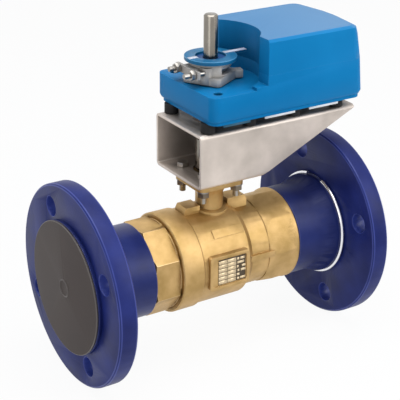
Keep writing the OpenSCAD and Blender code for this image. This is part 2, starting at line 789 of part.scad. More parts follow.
module valve_body() color("goldenrod") at_stem() difference() {
    union() {
        body_turned();
        body_octagon();
        neck();
        mirror([1, 0, 0]) lug(inlet_lug_near, inlet_lug_far);
        lug(outlet_lug_near, outlet_lug_far);
        front_pad();
        flat_band();
        slab(rib_start, rib_end, rib_face, rib_low, rib_low + rib_h);
    }
    x_rod(spigot_bore_d / 2, body_start - over, -spigot_reach);
    x_rod(cavity_d / 2, -spigot_reach - over, 0);
    sphere(d = cavity_d);
    x_rod(seat_pocket_d / 2, 0, seat_far);
    x_rod(port_d / 2, 0, outlet_end + over);
    x_rod(socket_d / 2, outlet_end - socket_len, outlet_end + over);
    z_rod(stem_d / 2 + stem_gap, 0, top_flange_top + over);
    z_rod(foot_pocket_d / 2, 0, foot_pocket_top);
    four(top_bolt_at, top_bolt_at) z_rod(top_hole_d / 2, top_flange_z - over, top_flange_top + over);
}
module end_connector() color("goldenrod") at_stem() difference() {
    union() {
        intersection() {
            rotate([connector_clock, 0, 0]) octagon(connector_d, inlet_end, body_start);
            x_turn([[inlet_end, 0], [inlet_end, connector_d / 2 - 2 * brass_bevel],
                [inlet_end + brass_bevel, connector_d / 2], [body_start - brass_bevel, connector_d / 2],
                [body_start, connector_d / 2 - 2 * brass_bevel], [body_start, 0]]);
        }
        x_rod(spigot_d / 2, body_start - over, -spigot_reach - fit_gap);
    }
    x_rod(port_d / 2, inlet_end - over, 0);
    x_rod(socket_d / 2, inlet_end - over, inlet_end + socket_len);
    x_rod(seat_pocket_d / 2, -seat_far, 0);
    difference() {
        x_rod(spigot_d, -body_seal_reach - body_seal_d * groove_share,
            -body_seal_reach + body_seal_d * groove_share);
        x_rod(spigot_d / 2 - body_seal_d, -body_seal_reach - body_seal_d, -body_seal_reach + body_seal_d);
    }
}
module body_seal() color("black") at_stem()
    x_ring(-body_seal_reach, spigot_d / 2 - body_seal_d / 2, body_seal_d / 2 - fit_gap);

// Ball, seats and stem
module ball() color("silver") at_stem() difference() {
    sphere(d = ball_d);
    x_rod(port_d / 2, -ball_d, ball_d);
    slab(-slot_w / 2, slot_w / 2, ball_d, slot_z, ball_d);
}
module seat() difference() {
    x_rod(seat_d / 2, seat_near, seat_far - fit_gap);
    x_rod(seat_bore_d / 2, 0, seat_far + over);
    sphere(r = ball_d / 2 + seat_gap);
}
module inlet_seat() color("white") at_stem() mirror([1, 0, 0]) seat();
module outlet_seat() color("white") at_stem() seat();
module stem() color("khaki") at_stem() difference() {
    union() {
        intersection() {
            slab(-tang_t / 2, tang_t / 2, tang_w / 2, tang_z, stem_foot_top);
            z_rod(stem_foot_d / 2, tang_z, stem_foot_top);
        }
        z_rod(stem_foot_d / 2, stem_foot_z, stem_foot_top);
        z_rod(stem_d / 2, stem_foot_z, square_z);
        slab(-square_w / 2, square_w / 2, square_w / 2, square_z - over, stem_top);
    }
    for (z = stem_seal_z) difference() {
        z_rod(stem_d, z - stem_seal_d * groove_share, z + stem_seal_d * groove_share);
        z_rod(stem_d / 2 - stem_seal_d, z - stem_seal_d, z + stem_seal_d);
    }
}
module stem_seals() color("black") at_stem() for (z = stem_seal_z) translate([0, 0, z])
    rotate_extrude() translate([stem_d / 2 - stem_seal_d / 2 + fit_gap, 0]) circle(d = stem_seal_d);
module thrust_washer() color("white") at_stem() difference() {
    z_rod(stem_foot_d / 2, stem_foot_top + fit_gap, foot_pocket_top - fit_gap);
    z_rod(washer_bore_d / 2, stem_foot_top - over, foot_pocket_top + over);
}

// Bracket, its screws and the rubber feet
module bracket_section(w, h, r) translate([0, h / 2]) round_square(w, h, r);
module mounting_bracket() color("silver") at_stem() difference() {
    translate([-bracket_back, 0, top_flange_top]) rotate([90, 0, 90])
        linear_extrude(bracket_back + bracket_tip) difference() {
            bracket_section(bracket_w, bracket_top - top_flange_top, bend_r);
            translate([0, sheet_t]) bracket_section(bracket_w - 2 * sheet_t,
                bracket_top - top_flange_top - 2 * sheet_t, bend_r - sheet_t);
        }
    rotate([90, 0, 0]) linear_extrude(2 * bracket_w, center = true) polygon([
        [bracket_floor_end, top_flange_top - over], [bracket_floor_end, top_flange_top],
        [bracket_tip, bracket_top - sheet_t], [bracket_tip + over, bracket_top - sheet_t],
        [bracket_tip + over, top_flange_top - over]]);
    z_rod(bracket_hole_d / 2, top_flange_top - over, bracket_top + over);
    four(top_bolt_at, top_bolt_at) z_rod(top_hole_d / 2, top_flange_top - over, floor_top + over);
    for (s = foot_s, y = [-1, 1]) translate([s, y * foot_y, 0])
        z_rod(foot_hole_d / 2, bracket_top - sheet_t - over, bracket_top + over);
}
module bracket_screws() color("silver") at_stem() four(top_bolt_at, top_bolt_at) {
    z_rod(bracket_screw_d / 2, floor_top - bracket_screw_len, floor_top + over);
    translate([0, 0, floor_top]) hex(bracket_flats, bracket_head_h);
}
module bracket_washers() color("silver") at_stem() four(top_bolt_at, top_bolt_at) difference() {
    z_rod(bracket_washer_d / 2, top_flange_z - bracket_washer_t, top_flange_z);
    z_rod(bracket_screw_d / 2 + fit_gap, top_flange_z - 2 * bracket_washer_t, top_flange_z + over);
}
module bracket_nuts() color("silver") at_stem() four(top_bolt_at, top_bolt_at)
    translate([0, 0, top_flange_z - bracket_washer_t - bracket_nut_h]) difference() {
        hex(bracket_flats, bracket_nut_h);
        z_rod(bracket_screw_d / 2 + fit_gap, -over, bracket_nut_h + over);
    }
module at_feet() for (s = foot_s, y = [-1, 1]) translate([s, y * foot_y, 0]) children();
module feet() color("black") at_stem() at_feet() difference() {
    z_rod(foot_d / 2, bracket_top, base_z);
    z_rod(foot_hole_d / 2, bracket_top - over, base_z + over);
}
module mount_screws() color("silver") at_stem() at_feet() {
    z_rod(mount_screw_d / 2, bracket_top - sheet_t - mount_head_h / 2, base_top);
    z_rod(mount_head_d / 2, bracket_top - sheet_t - mount_head_h, bracket_top - sheet_t);
}

// Drive shaft, hub and clamp, all turning with the ball
module drive_shaft() color("silver") at_stem() difference() {
    r = shaft_d / 2;
    z_turn([[0, coupling_z], [coupling_d / 2, coupling_z], [coupling_d / 2, coupling_top],
        [r, coupling_top + r], [r, shaft_top - shaft_tip], [r - shaft_tip, shaft_top], [0, shaft_top]]);
    slab(-socket_w / 2, socket_w / 2, socket_w / 2, coupling_z - over, socket_top);
    translate([0, 0, set_screw_z]) rotate([90, 0, 0]) z_rod(set_screw_d / 2 + fit_gap, 0, coupling_d);
}
module shaft_set_screw() color("dimgray") at_stem() translate([0, 0, set_screw_z]) rotate([90, 0, 0])
    z_rod(set_screw_d / 2, socket_w / 2, coupling_d / 2 - screw_gap);
module clamp_rod(r) translate([0, 0, clamp_z]) {
    for (y = [-1, 1]) translate([0, y * clamp_leg_y, 0]) x_rod(r, -clamp_reach, 0);
    rotate([0, 0, -90]) rotate_extrude(angle = 180) translate([clamp_leg_y, 0]) circle(r = r);
}
module drive_hub() color("lightgray") at_stem() difference() {
    union() {
        z_rod(drive_hub_d / 2, hub_plate_top - over, hub_top);
        rotate([0, 0, hub_plate_clock]) {
            translate([0, 0, hub_z]) rotate([0, 0, 45]) linear_extrude(hub_plate_top - hub_z)
                round_square(hub_plate_d * cos(45), hub_plate_d * cos(45), hub_plate_corner);
            slab(0, stop_arm_r, stop_arm_w / 2, hub_z + screw_gap, hub_plate_top - screw_gap);
        }
        rotate([0, 0, hub_boss_clock]) translate([hub_boss_reach, 0, 0])
            z_rod(hub_boss_d / 2, hub_z + over, hub_boss_top);
    }
    z_rod(sleeve_d / 2 + fit_gap, hub_z - over, sleeve_top + fit_gap);
    z_rod(sleeve_bore_d / 2, hub_z - over, hub_top + over);
    for (y = [-1, 1]) translate([0, y * clamp_leg_y, clamp_z])
        x_rod(clamp_rod_d / 2 + clamp_gap, -clamp_reach, over);
    difference() {
        slab(0, drive_hub_d, drive_hub_d, clamp_z - clamp_slot_r, clamp_z + clamp_slot_r);
        z_rod(clamp_leg_y - clamp_slot_r, hub_z, hub_top);
    }
}
module u_bolt() color("silver") at_stem() clamp_rod(clamp_rod_d / 2);
module clamp_saddle() color("silver") at_stem() difference() {
    union() {
        slab(-saddle_reach, -saddle_in, saddle_len / 2, clamp_z - saddle_h / 2, clamp_z + saddle_h / 2);
        slab(-saddle_reach, -drive_hub_d / 4, saddle_seat_w / 2, clamp_z - saddle_h / 2,
            clamp_z + saddle_h / 2);
    }
    z_rod(drive_hub_d / 2 + fit_gap, hub_z, hub_top + over);
    for (y = [-1, 1]) translate([0, y * clamp_leg_y, clamp_z])
        x_rod(clamp_rod_d / 2 + clamp_gap, -clamp_reach, 0);
}
module clamp_nuts() color("silver") at_stem() for (y = [-1, 1])
    translate([-saddle_reach, y * clamp_leg_y, clamp_z]) mirror([1, 0, 0]) along_x() difference() {
        hex(clamp_flats, clamp_nut_h);
        z_rod(clamp_rod_d / 2 + fit_gap, -over, clamp_nut_h + over);
    }
module indicator_ring() color("dodgerblue") at_stem() {
    difference() {
        z_rod(indicator_d / 2, hub_top, hub_top + indicator_t);
        z_rod(indicator_bore_d / 2, hub_top - over, hub_top + indicator_t + over);
    }
    slab(indicator_bore_d / 2 + screw_gap, pointer_reach, pointer_w / 2,
        hub_top + indicator_t - pointer_t, hub_top + indicator_t);
}

// Involute teeth, each centred on a multiple of the pitch angle; m is the module, n the teeth
function pitch_r(m, n) = m * n / 2;
function base_r(m, n) = pitch_r(m, n) * cos(pressure_angle);
function root_r(m, n) = pitch_r(m, n) - m * dedendum_share;
function tip_r(m, n) = pitch_r(m, n) + m * addendum_share;
function involute(a) = tan(a) * 180 / PI - a;
function half_angle(m, n, r) = 90 / n + involute(pressure_angle) - flank_gap / (m * n) * 180 / PI
    - involute(acos(min(1, base_r(m, n) / r)));
function flank_r(m, n) = let (low = max(base_r(m, n), root_r(m, n)))
    [for (k = [0:flank_steps]) low + (tip_r(m, n) - low) * k / flank_steps];
function tooth(m, n, i) = let (rs = flank_r(m, n), mid = i * 360 / n) concat(
    [root_r(m, n) * turned(mid - half_angle(m, n, rs[0]))],
    [for (r = rs) r * turned(mid - half_angle(m, n, r))],
    [for (k = [flank_steps:-1:0]) rs[k] * turned(mid + half_angle(m, n, rs[k]))],
    [root_r(m, n) * turned(mid + half_angle(m, n, rs[0]))]);
function turned(a) = [cos(a), sin(a)];
function all_teeth(m, n, first, last) = [for (i = [first:last]) each tooth(m, n, i)];
module gear(m, n, from, to) translate([0, 0, from]) linear_extrude(to - from)
    polygon(all_teeth(m, n, 0, n - 1));
module wheel(from, to) difference() {
    gear(wheel_tooth_size, wheel_teeth, from, to);
    for (i = [0:wheel_holes - 1]) rotate([0, 0, (i + 1 / 2) * 360 / wheel_holes])
        translate([wheel_hole_reach, 0, 0]) z_rod(wheel_hole_d / 2, from - over, to + over);
}
module output_gear() color("silver") at_stem() difference() {
    union() {
        z_rod(sleeve_d / 2, sleeve_z, sleeve_top);
        translate([0, 0, sector_z]) linear_extrude(sector_top - sector_z)
            polygon(concat([[0, 0]], all_teeth(sector_tooth_size, sector_teeth, sector_first, sector_last)));
        z_rod(sleeve_d * 2 / 3, sector_z, sector_top);
    }
    z_rod(sleeve_bore_d / 2, sleeve_z - over, sleeve_top + over);
}
module gear_one() color("silver") at_stem() translate([gear_one_s, 0, 0]) difference() {
    union() {
        gear(sector_tooth_size, pinion_teeth, base_top + end_play, wheel_one_z - pinion_extra);
        wheel(wheel_one_z, wheel_one_top);
        z_rod(gear_hub_d / 2, base_top + end_play, plate_z - end_play);
    }
    z_rod(pin_d / 2 + pin_gap, base_z, plate_top);
}
module gear_two() color("silver") at_stem() translate([gear_two_s, 0, 0]) difference() {
    union() {
        gear(wheel_tooth_size, pinion_teeth, wheel_one_z - pinion_extra, wheel_one_top + pinion_extra);
        wheel(wheel_two_z, wheel_two_top);
        z_rod(gear_hub_d / 2, base_top + end_play, plate_z - end_play);
    }
    z_rod(pin_d / 2 + pin_gap, base_z, plate_top);
}
module motor_pinion() color("silver") at_stem() translate([motor_s, 0, 0]) {
    gear(wheel_tooth_size, pinion_teeth, wheel_two_z - pinion_extra, wheel_two_top + pinion_extra);
    z_rod(motor_shaft_d / 2, wheel_two_z, plate_top + motor_shaft_in);
}
module hub_bushes() color("white") at_stem() for (z = [base_top - base_t, deck_z - bush_h]) difference() {
    z_rod(bush_d / 2 - fit_gap, z, z + bush_h);
    z_rod(sleeve_d / 2 + pin_gap, z - over, z + bush_h + over);
}
module gear_pins() color("silver") at_stem() for (s = [gear_one_s, gear_two_s]) translate([s, 0, 0])
    z_rod(pin_d / 2, base_z, plate_top);
module gear_plate() color("silver") at_stem() difference() {
    translate([(plate_start + plate_end) / 2, 0, plate_z]) linear_extrude(plate_t)
        round_square(plate_end - plate_start, 2 * plate_y, plate_corner);
    for (s = [gear_one_s, gear_two_s]) translate([s, 0, 0])
        z_rod(pin_d / 2 + fit_gap, plate_z - over, plate_top + over);
    for (s = post_s, y = [-1, 1]) translate([s, y * post_y, 0])
        z_rod(stud_d / 2 + fit_gap, plate_z - over, plate_top + over);
    translate([motor_s, 0, 0]) z_rod(motor_nose_d / 2 + fit_gap, plate_z - over, plate_top + over);
}
module plate_posts() color("silver") at_stem() for (s = post_s, y = [-1, 1]) translate([s, y * post_y, 0]) {
    z_rod(post_d / 2, base_top, plate_z);
    z_rod(stud_d / 2, base_z, plate_top);
}
module motor() color("dimgray") at_stem() translate([motor_s, 0, 0]) difference() {
    union() {
        z_turn([[0, plate_top], [motor_d / 2, plate_top], [motor_d / 2, plate_top + motor_h - over],
            [motor_d / 2 - over, plate_top + motor_h], [0, plate_top + motor_h]]);
        z_rod(motor_nose_d / 2, plate_z, plate_top + over);
    }
    z_rod(motor_shaft_d / 2 + pin_gap, plate_z - over, plate_top + motor_shaft_in + screw_gap);
}

// Case of the actuator
module case_layer(z, inset, lean) {
    half = case_w / 2 - inset;
    back = -case_back + inset;
    front = case_front - lean - inset;
    rb = max(1, case_corner_back - inset);
    rf = max(1, case_corner_front - inset);
    for (y = [-1, 1]) {
        translate([back + rb, y * (half - rb), z]) cylinder(r = rb, h = skin, $fn = hull_sides);
        translate([front - rf - case_bow, y * (half - rf), z]) cylinder(r = rf, h = skin, $fn = hull_sides);
        translate([front - rf, y * case_bow_y, z]) cylinder(r = rf, h = skin, $fn = hull_sides);
    }
}
module housing_solid(inset, from, to) hull() {
    case_layer(from, inset + case_bevel, 0);
    case_layer(base_top + case_bevel_h, inset, 0);
    case_layer(to - skin, inset, lean_joint);
}
module cover_solid(inset, from, drop) hull() {
    case_layer(from, inset, lean_joint);
    case_layer(shoulder_z, inset + case_taper / 2, lean_shoulder - case_taper / 2);
    case_layer(edge_z - drop, inset + case_taper, lean_edge - case_taper);
    case_layer(cover_top - drop - skin, inset + top_inset, lean_top - top_inset);
}
module low_end(wall, from, to) {
    z_rod(recess_r + wall, from, to);
    slab(-2 * case_back, tall_start + wall, case_w, from, to);
}
module actuator_housing() color("dodgerblue") at_stem() difference() {
    union() {
        difference() {
            housing_solid(0, base_top, joint_z);
            difference() {
                housing_solid(case_wall, base_top - over, joint_z + over);
                low_end(case_wall, deck_under, joint_z + 2 * over);
            }
        }
        intersection() {
            housing_solid(over, base_top, joint_z);
            union() {
                for (s = [deck_screw_s, rear_screw_s], y = [-1, 1]) translate([s, y * case_screw_y, 0])
                    z_rod(case_boss_d / 2, base_top, case_seat_z + case_wall);
                for (s = [deck_screw_s, rear_screw_s], side = [0, 1]) mirror([0, side, 0])
                    translate([s - case_wall / 2, case_screw_y, base_top])
                    cube([case_wall, case_w / 2 - case_screw_y, case_seat_z - base_top]);
                z_rod(bush_d / 2 + case_wall, deck_z - bush_h, deck_z);
            }
        }
        translate([0, gland_y, gland_z]) x_rod(gland_pad_d / 2, gland_inner, gland_face);
    }
    z_rod(recess_r, deck_z, joint_z + over);
    slab(-2 * case_back, ledge_start, case_w, deck_z, joint_z + over);
    slab(-2 * case_back, tall_start, case_w, ledge_z, joint_z + over);
    for (s = [deck_screw_s, rear_screw_s], y = [-1, 1]) translate([s, y * case_screw_y, 0]) {
        z_rod(case_screw_d / 2 + screw_gap, base_z, joint_z);
        z_rod(case_recess_d / 2, case_seat_z, joint_z);
    }
    z_rod(bush_d / 2, deck_z - bush_h - over, deck_z + over);
    translate([0, gland_y, gland_z]) x_rod(gland_d / 2 + fit_gap, gland_inner - over, gland_face + over);
    for (y = [-1, 1]) translate([0, y * cover_screw_y, cover_screw_z]) {
        x_rod(case_screw_d / 2 + screw_gap, tab_out - over, case_front);
        x_rod(case_recess_d / 2, cover_head_s - case_head_h / 2, case_front + over);
    }
}
module actuator_cover() color("dodgerblue") at_stem() difference() {
    union() {
        difference() {
            cover_solid(0, joint_z, 0);
            difference() {
                cover_solid(case_wall, joint_z - over, case_wall);
                low_end(case_wall, joint_z - 2 * over, cover_top);
            }
        }
        for (y = [-1, 1]) translate([0, y * cover_screw_y, 0])
            slab(tab_out - tab_t, tab_out, tab_w / 2, joint_z - tab_drop, joint_z + tab_rise);
    }
    low_end(0, joint_z - over, cover_top + over);
    for (y = [-1, 1]) translate([0, y * cover_screw_y, cover_screw_z])
        x_rod(case_screw_d / 2 + fit_gap, tab_out - tab_t - over, case_front);
}
module base_plate() color("gray") at_stem() difference() {
    front = case_front - base_inset - case_bow;
    translate([(front - case_back + base_inset) / 2, 0, base_z]) linear_extrude(base_t)
        round_square(front + case_back - base_inset, case_w - 2 * base_inset, case_corner_back);
    for (s = foot_s, y = [-1, 1]) translate([s, y * foot_y, 0])
        z_rod(mount_screw_d / 2 + fit_gap, base_z - over, base_top + over);
    for (s = [deck_screw_s, rear_screw_s], y = [-1, 1]) translate([s, y * case_screw_y, 0])
        z_rod(case_screw_d / 2 + fit_gap, base_z - over, base_top + over);
    for (s = post_s, y = [-1, 1]) translate([s, y * post_y, 0])
        z_rod(stud_d / 2 + fit_gap, base_z - over, base_top + over);
    for (s = [gear_one_s, gear_two_s]) translate([s, 0, 0])
        z_rod(pin_d / 2 + fit_gap, base_z - over, base_top + over);
    z_rod(bush_d / 2, base_z - over, base_top + over);
}
module housing_screws() color("silver") at_stem()
    for (s = [deck_screw_s, rear_screw_s], y = [-1, 1]) translate([s, y * case_screw_y, 0]) {
        z_rod(case_screw_d / 2, base_z, case_seat_z + over);
        z_rod(case_head_d / 2, case_seat_z, case_seat_z + case_head_h);
    }
module cover_screws() color("silver") at_stem() for (y = [-1, 1])
    translate([0, y * cover_screw_y, cover_screw_z]) {
    seat = cover_head_s - case_head_h / 2;
    x_rod(case_screw_d / 2, seat - cover_screw_len, seat + over);
    x_rod(case_head_d / 2, seat, seat + case_head_h);
}

// Electrics
module circuit_board() color("green") at_stem() {
    difference() {
        slab(board_start, board_end, board_y, board_z, board_z + board_t);
        for (s = board_post_s, y = [-1, 1]) translate([s, y * post_y, 0])
            z_rod(stud_d / 2, board_z - over, board_z + board_t + over);
    }
    for (i = [-1, 0, 1]) translate([(board_start + board_end - relay_size[0]) / 2,
        (i - 1 / 2) * relay_size[1], board_z + board_t - fit_gap])
        cube([relay_size[0], relay_size[1] - over, relay_size[2] + fit_gap]);
}
module board_posts() color("silver") at_stem() for (s = board_post_s, y = [-1, 1])
    translate([s, y * post_y, 0]) {
    z_rod(board_post_d / 2, plate_top, board_z);
    z_rod(stud_d / 2 - fit_gap, board_z - over, board_z + board_t);
}
module terminal_block() color("green") at_stem() translate([terminal_start, terminal_y, base_top])
    difference() {
        t = terminal_size[0];
        w = terminal_size[1];
        h = terminal_size[2];
        slab(0, t, w / 2, 0, h);
        for (i = [0:terminal_ways - 1]) translate([0, (i + 1 / 2) * w / terminal_ways - w / 2, 0]) {
            translate([0, 0, h / 3]) x_rod(terminal_hole_d / 2, t / 2, t + over);
            translate([t / 2, 0, 0]) z_rod(terminal_hole_d / 2, 2 * h / 3, h + over);
        }
    }
module cable_gland() color("dimgray") at_stem() translate([0, gland_y, gland_z]) difference() {
    union() {
        x_rod(gland_d / 2, gland_inner - locknut_t - over, gland_face + over);
        translate([gland_face, 0, 0]) along_x() hex(gland_flats, gland_hex_t);
        x_rod(gland_neck_d / 2, gland_face, gland_face + gland_hex_t + gland_out);
    }
    x_rod(gland_bore_d / 2, gland_inner - locknut_t - 2 * over,
        gland_face + gland_hex_t + gland_out + over);
}
module gland_locknut() color("dimgray") at_stem()
    translate([gland_inner - locknut_t, gland_y, gland_z]) along_x() difference() {
        hex(gland_flats, locknut_t);
        z_rod(gland_d / 2 + fit_gap, -over, locknut_t + over);
    }
module gland_nut() color("dimgray") at_stem()
    translate([gland_face + gland_hex_t + screw_gap, gland_y, gland_z]) along_x() difference() {
        intersection() {
            hex(gland_flats, gland_nut_len);
            z_turn([[0, 0], [gland_flats, 0], [gland_flats, gland_nut_len / 2],
                [gland_nose_d / 2, gland_nut_len], [0, gland_nut_len]]);
        }
        z_rod(gland_neck_d / 2 + fit_gap, -over, gland_out);
        z_rod(gland_bore_d / 2, -over, gland_nut_len + over);
    }

valve_body();
end_connector();
ball();
stem();
inlet_seat();
outlet_seat();
stem_seals();
thrust_washer();
body_seal();
inlet_adaptor();
outlet_adaptor();
inlet_flange();
outlet_flange();
inlet_snap_ring();
outlet_snap_ring();
inlet_cap();
outlet_cap();
mounting_bracket();
bracket_screws();
bracket_washers();
bracket_nuts();
feet();
mount_screws();
drive_shaft();
shaft_set_screw();
drive_hub();
clamp_saddle();
u_bolt();
clamp_nuts();
indicator_ring();
output_gear();
hub_bushes();
gear_one();
gear_two();
gear_pins();
gear_plate();
plate_posts();
motor();
motor_pinion();
base_plate();
actuator_housing();
housing_screws();
actuator_cover();
cover_screws();
circuit_board();
board_posts();
terminal_block();
cable_gland();
gland_locknut();
gland_nut();
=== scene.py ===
import json
import math

import bmesh
import bpy
from mathutils import Matrix, Vector


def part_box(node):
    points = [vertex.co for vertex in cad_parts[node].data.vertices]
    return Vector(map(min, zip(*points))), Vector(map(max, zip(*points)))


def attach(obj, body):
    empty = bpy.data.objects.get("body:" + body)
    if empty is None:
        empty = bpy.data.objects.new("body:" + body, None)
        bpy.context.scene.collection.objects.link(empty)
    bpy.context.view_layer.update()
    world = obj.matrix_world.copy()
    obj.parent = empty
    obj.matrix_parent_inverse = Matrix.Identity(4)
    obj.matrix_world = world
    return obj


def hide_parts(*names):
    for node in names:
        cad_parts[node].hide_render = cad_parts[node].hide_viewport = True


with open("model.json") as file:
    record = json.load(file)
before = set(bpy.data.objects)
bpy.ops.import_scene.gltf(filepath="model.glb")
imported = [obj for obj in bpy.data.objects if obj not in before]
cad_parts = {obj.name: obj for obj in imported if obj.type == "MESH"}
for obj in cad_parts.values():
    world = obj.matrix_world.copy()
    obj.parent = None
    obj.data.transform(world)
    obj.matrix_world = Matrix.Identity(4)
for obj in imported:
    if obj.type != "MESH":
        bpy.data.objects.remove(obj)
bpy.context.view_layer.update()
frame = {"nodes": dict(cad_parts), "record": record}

nodes = frame["nodes"]

# Camera. The photograph was taken from the inlet end, a little above, with a long lens.
# The place and the turn are those that fit both flanges in it.
photo_focal_px = 1210.641
photo_px = 400
film_mm = 36
nearest_seen, farthest_seen = 0.05, 20
camera_right = Vector((0.8459345, -0.5332426, 0.0068681))
camera_up = Vector((0.2096507, 0.3443759, 0.9151240))
camera_back = Vector((-0.4903483, -0.7726950, 0.4031141))
camera_at = Vector((-0.4078567, -0.8550257, 0.4982650))
camera = bpy.data.objects.new("camera", bpy.data.cameras.new("camera"))
camera.data.sensor_width = film_mm
camera.data.lens = film_mm * photo_focal_px / photo_px
camera.data.clip_start = nearest_seen
camera.data.clip_end = farthest_seen
camera_turn = Matrix((camera_right, camera_up, camera_back)).transposed().to_4x4()
camera.matrix_world = Matrix.Translation(camera_at) @ camera_turn
scene = bpy.context.scene
scene.collection.objects.link(camera)
scene.camera = camera

# Studio surround. White where it is seen or mirrored, and a dimmer bluish room where it
# lights the object.
room_colour, room_strength = (0.92, 0.95, 1.0, 1), 0.42
white, white_strength = (1, 1, 1, 1), 1.0


def white_to(tree, rays):
    """A share that is one for the rays that show the surround: seen, mirrored or let through."""
    share = rays.outputs["Is Camera Ray"]
    for kind in ("Is Glossy Ray", "Is Transmission Ray"):
        either = tree.nodes.new("ShaderNodeMath")
        either.operation = "MAXIMUM"
        tree.links.new(share, either.inputs[0])
        tree.links.new(rays.outputs[kind], either.inputs[1])
        share = either.outputs[0]
    return share


scene.view_settings.view_transform = "Standard"
world = bpy.data.worlds.new("studio")
scene.world = world
world.use_nodes = True
sky = world.node_tree.nodes
sky.clear()
sky_out = sky.new("ShaderNodeOutputWorld")
sky_rays = sky.new("ShaderNodeLightPath")
sky_room = sky.new("ShaderNodeBackground")
sky_room.inputs["Color"].default_value = room_colour
sky_room.inputs["Strength"].default_value = room_strength
sky_white = sky.new("ShaderNodeBackground")
sky_white.inputs["Color"].default_value = white
sky_white.inputs["Strength"].default_value = white_strength
sky_mix = sky.new("ShaderNodeMixShader")
sky_links = world.node_tree.links
sky_links.new(white_to(world.node_tree, sky_rays), sky_mix.inputs[0])
sky_links.new(sky_room.outputs[0], sky_mix.inputs[1])
sky_links.new(sky_white.outputs[0], sky_mix.inputs[2])
sky_links.new(sky_mix.outputs[0], sky_out.inputs["Surface"])

# Studio floor. A plain pale sheet just under the two flanges, nearly white to the camera,
# that keeps the object's faint shadow.
floor_gap = 0.0002
floor_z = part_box("inlet_flange")[0][2] - floor_gap
floor_half = 4
floor_at = (0.14, 0, floor_z)
floor_grey = (0.86, 0.87, 0.88, 1)
floor_white_share = 0.94


def studio_sheet(name, half, at, paint):
    """A flat square sheet that belongs to the studio."""
    mesh = bmesh.new()
    bmesh.ops.create_grid(mesh, x_segments=1, y_segments=1, size=half,
                          matrix=Matrix.Translation(at))
    data = bpy.data.meshes.new(name)
    mesh.to_mesh(data)
    mesh.free()
    data.materials.append(paint)
    sheet = bpy.data.objects.new(name, data)
    scene.collection.objects.link(sheet)
    return sheet


floor_paint = bpy.data.materials.new("floor_paint")
floor_paint.use_nodes = True
floor_tree = floor_paint.node_tree
floor_tree.nodes.clear()
floor_out = floor_tree.nodes.new("ShaderNodeOutputMaterial")
floor_rays = floor_tree.nodes.new("ShaderNodeLightPath")
floor_seen = floor_tree.nodes.new("ShaderNodeMath")
floor_seen.operation = "MULTIPLY"
floor_seen.inputs[1].default_value = floor_white_share
floor_matt = floor_tree.nodes.new("ShaderNodeBsdfDiffuse")
floor_matt.inputs["Color"].default_value = floor_grey
floor_glow = floor_tree.nodes.new("ShaderNodeEmission")
floor_glow.inputs["Color"].default_value = white
floor_glow.inputs["Strength"].default_value = white_strength
floor_mix = floor_tree.nodes.new("ShaderNodeMixShader")
floor_tree.links.new(white_to(floor_tree, floor_rays), floor_seen.inputs[0])
floor_tree.links.new(floor_seen.outputs[0], floor_mix.inputs[0])
floor_tree.links.new(floor_matt.outputs[0], floor_mix.inputs[1])
floor_tree.links.new(floor_glow.outputs[0], floor_mix.inputs[2])
floor_tree.links.new(floor_mix.outputs[0], floor_out.inputs["Surface"])
studio_sheet("floor", floor_half, floor_at, floor_paint)

# Studio card. A matt dark grey sheet on the floor before the outlet end, itself unseen, that
# gives the metal something dark to mirror.
card_half = 0.5
card_at = (0.75, -0.85, floor_z + 0.002)
card_grey, card_roughness = (0.12, 0.12, 0.13, 1), 0.9
card_paint = bpy.data.materials.new("card_paint")
card_paint.use_nodes = True
card_shader = card_paint.node_tree.nodes["Principled BSDF"]
card_shader.inputs["Base Color"].default_value = card_grey
card_shader.inputs["Roughness"].default_value = card_roughness
card = studio_sheet("grey_card", card_half, card_at, card_paint)
card.visible_camera = False

# Studio lamps. A wide soft box overhead, one on the viewer's right and a weaker one on the
# left, all aimed at the middle of the valve.
lamps_aim = (0.14, 0, 0.06)
lamps = {  # name: (place, width and height, watts)
    "overhead": ((0.10, -0.10, 1.20), (1.2, 1.0), 11),
    "right_front": ((0.95, -1.10, 0.75), (0.9, 0.9), 10),
    "left_front": ((-1.10, -0.60, 0.45), (0.8, 0.9), 2.7)}
for name, (place, size, watts) in lamps.items():
    light = bpy.data.lights.new(name, "AREA")
    light.shape = "RECTANGLE"
    light.size, light.size_y = size
    light.energy = watts
    soft_box = bpy.data.objects.new(name, light)
    soft_box.location = place
    aim = Vector(lamps_aim) - Vector(place)
    soft_box.rotation_euler = aim.to_track_quat("-Z", "Y").to_euler()
    scene.collection.objects.link(soft_box)

# Loose flanges. Each is a ring of cast iron, turned, drilled and dipped in a satin navy paint,
# with a painted highlight in lighter blue on its turned rims and painted light in its bolt holes. It
# turns on the adaptor's hub.
bodies = frame["record"]["behaviour"]["bodies"]
body_of = {node: body for body, names in bodies.items() for node in names}
tint_low, tint_high = 0.32, 0.70
cloud_detail, grain_detail = 5, 3
grain_depth = 0.0004
gloss_under, gloss_over = 0.06, 0.08


